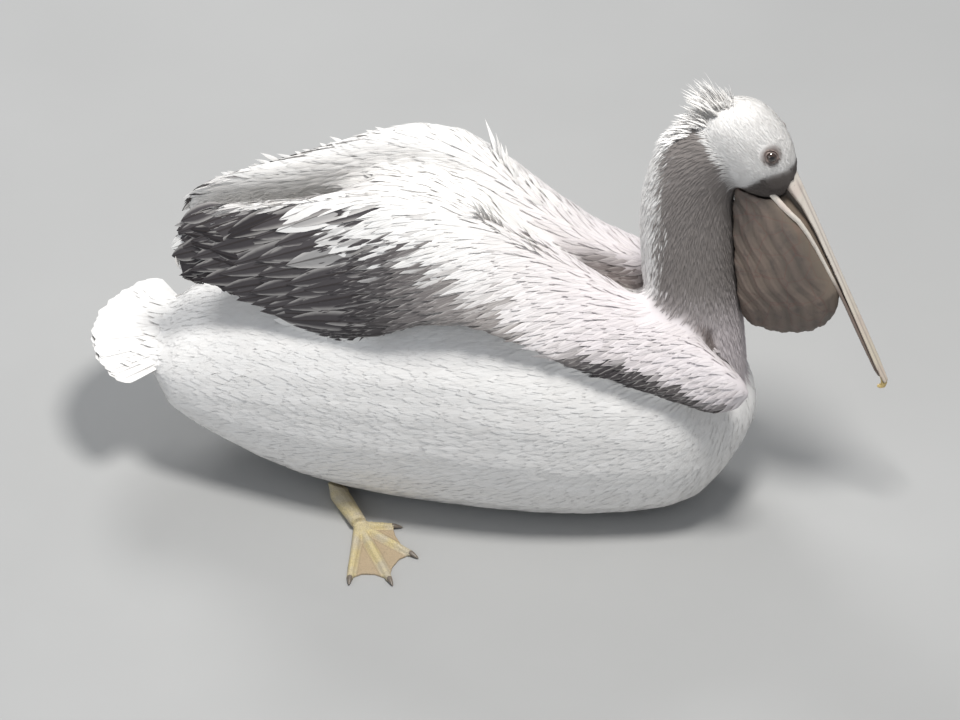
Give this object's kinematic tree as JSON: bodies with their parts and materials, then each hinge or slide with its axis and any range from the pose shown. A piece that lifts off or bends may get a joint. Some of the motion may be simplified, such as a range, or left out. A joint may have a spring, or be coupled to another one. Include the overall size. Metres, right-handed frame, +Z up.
{
  "type": "pelican, still life-size model",
  "caption": "Life-size pink-backed pelican resting on its belly, wings raised loosely over the back, neck drawn up and long pouched bill held down in front of the breast.",
  "frame": {"origin": "on the floor, at the middle of the flat patch under the belly that the bird rests on", "axes": "+X from tail to breast, the way the bird faces; +Y to the bird's left; +Z up"},
  "size_m": [0.9524, 0.5078, 0.617],
  "materials": {
    "plumage": "soft white body feathers",
    "mantle": "pale grey-white coverts with a faint lilac-pink cast and grey streaks",
    "neck": "short silky grey-white neck feathers",
    "flight": "dark grey-brown flight feathers with paler edges",
    "bill": "satin horn, cream to dull pink",
    "nail": "smooth yellow horn",
    "pouch": "thin bare grey-brown skin with fine folds",
    "foot": "pale yellow scaly skin",
    "eye": "wet dark brown"
  },
  "bodies": {
    "root": {"trunk": "plumage", "back": "mantle", "neck_lower": "neck", "neck_upper": "neck", "head": "plumage", "crest": "plumage", "bill_upper": "bill", "bill_nail": "nail", "bill_lower": "bill", "pouch": "pouch", "tail": "plumage", "wing_arm_right": "mantle", "wing_tip_right": "flight", "eye_right": "eye", "leg_right": "foot", "foot_right": "foot", "wing_arm_left": "mantle", "wing_tip_left": "flight", "eye_left": "eye", "leg_left": "foot", "foot_left": "foot"}
  },
  "joints": []
}
